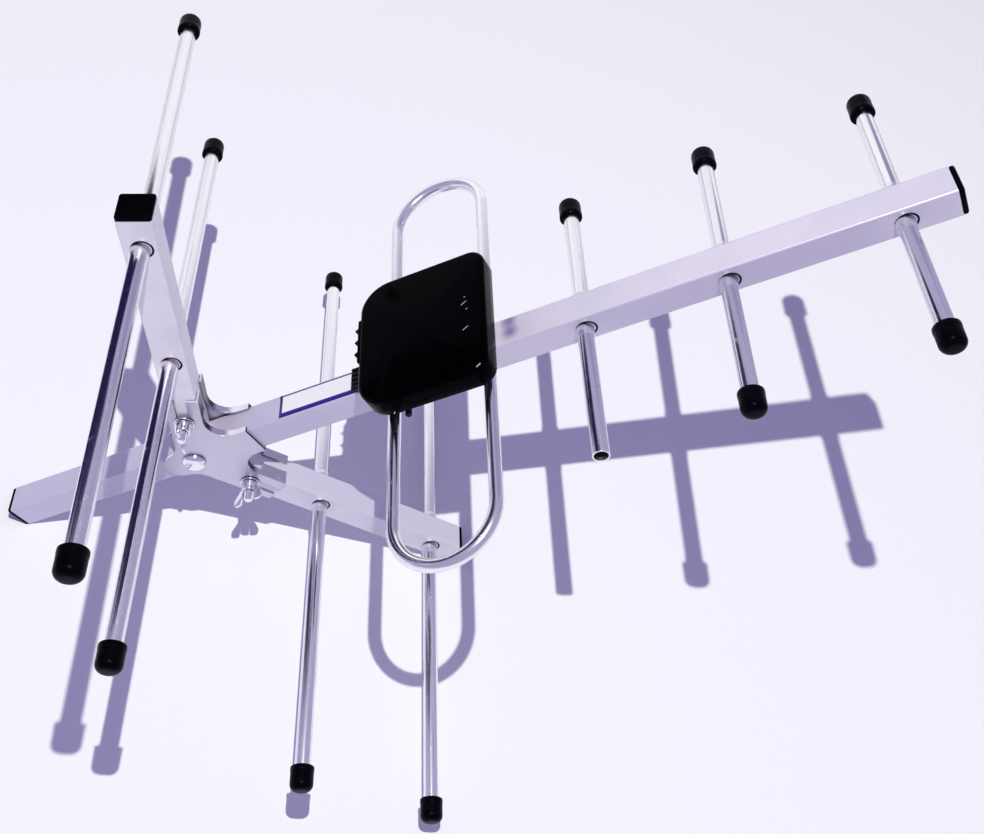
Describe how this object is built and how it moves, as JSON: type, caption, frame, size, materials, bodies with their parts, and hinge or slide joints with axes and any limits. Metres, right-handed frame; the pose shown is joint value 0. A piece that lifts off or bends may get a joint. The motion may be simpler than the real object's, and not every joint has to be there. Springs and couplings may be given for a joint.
{
  "type": "television antenna",
  "caption": "Outdoor television antenna: square boom, short directors, a looped dipole with its feed box, and two reflector arms held by clamp plates and wing nuts.",
  "frame": {"origin": "on the underside of the boom, centred across it, at the middle of the bare rear stub that a mast clamp grips", "axes": "+X along the boom towards the directors, +Z from the boom towards the feed box, +Y along the elements"},
  "size_m": [0.6504, 0.4318, 0.3928],
  "materials": {
    "square_tube": "drawn, satin, faint lengthwise die lines, with fine scuffs",
    "rod_tube": "bright drawn tube with soft lengthwise streaks and pits",
    "rod_cap": "soft black moulded cap, low sheen",
    "tube_plug": "black moulded, satin",
    "clamp_plate": "pressed and zinc plated, satin",
    "plated_steel": "bright zinc plate",
    "feed_box": "glossy black moulding",
    "soft_rubber": "soft, dull",
    "circuit_board": "solder mask, satin",
    "ferrite": "sintered, dull",
    "brass": "stamped strip"
  },
  "bodies": {
    "antenna": {"balun_core": "ferrite", "boom": "square_tube", "boom_bolt": "plated_steel", "boom_front_plug": "tube_plug", "boom_nut": "plated_steel", "boom_rear_plug": "tube_plug", "boom_washer": "plated_steel", "box_front_screw": "plated_steel", "box_rear_screw": "plated_steel", "cable_inlet": "soft_rubber", "cable_terminal": "tube_plug", "director_1": "rod_tube", "director_1_far_cap": "rod_cap", "director_2": "rod_tube", "director_2_far_cap": "rod_cap", "director_2_near_cap": "rod_cap", "director_3": "rod_tube", "director_3_far_cap": "rod_cap", "director_3_near_cap": "rod_cap", "far_clamp_plate": "clamp_plate", "far_feed_strap": "brass", "far_strap_screw": "plated_steel", "feed_box_base": "feed_box", "feed_box_lid": "feed_box", "folded_dipole": "rod_tube", "lower_arm": "square_tube", "lower_arm_bolt": "plated_steel", "lower_arm_far_washer": "plated_steel", "lower_arm_near_washer": "plated_steel", "lower_arm_plug": "tube_plug", "lower_inner_reflector": "rod_tube", "lower_inner_reflector_far_cap": "rod_cap", "lower_inner_reflector_near_cap": "rod_cap", "lower_outer_reflector": "rod_tube", "lower_outer_reflector_far_cap": "rod_cap", "lower_outer_reflector_near_cap": "rod_cap", "matching_board": "circuit_board", "near_clamp_plate": "clamp_plate", "near_feed_strap": "brass", "near_strap_screw": "plated_steel", "upper_arm": "square_tube", "upper_arm_bolt": "plated_steel", "upper_arm_far_washer": "plated_steel", "upper_arm_near_washer": "plated_steel", "upper_arm_plug": "tube_plug", "upper_inner_reflector": "rod_tube", "upper_inner_reflector_far_cap": "rod_cap", "upper_inner_reflector_near_cap": "rod_cap", "upper_outer_reflector": "rod_tube", "upper_outer_reflector_far_cap": "rod_cap", "upper_outer_reflector_near_cap": "rod_cap"},
    "upper_wing_nut": {"upper_wing_nut": "plated_steel"},
    "lower_wing_nut": {"lower_wing_nut": "plated_steel"}
  },
  "joints": [
    {"name": "upper_wing_nut_turn", "type": "hinge", "parent": "antenna", "child": "upper_wing_nut", "pos_m": [0.11026, -0.0136, 0.04732], "axis": [0, -1, 0], "continuous": true},
    {"name": "lower_wing_nut_turn", "type": "hinge", "parent": "antenna", "child": "lower_wing_nut", "pos_m": [0.11026, -0.0136, -0.02732], "axis": [0, -1, 0], "continuous": true}
  ]
}
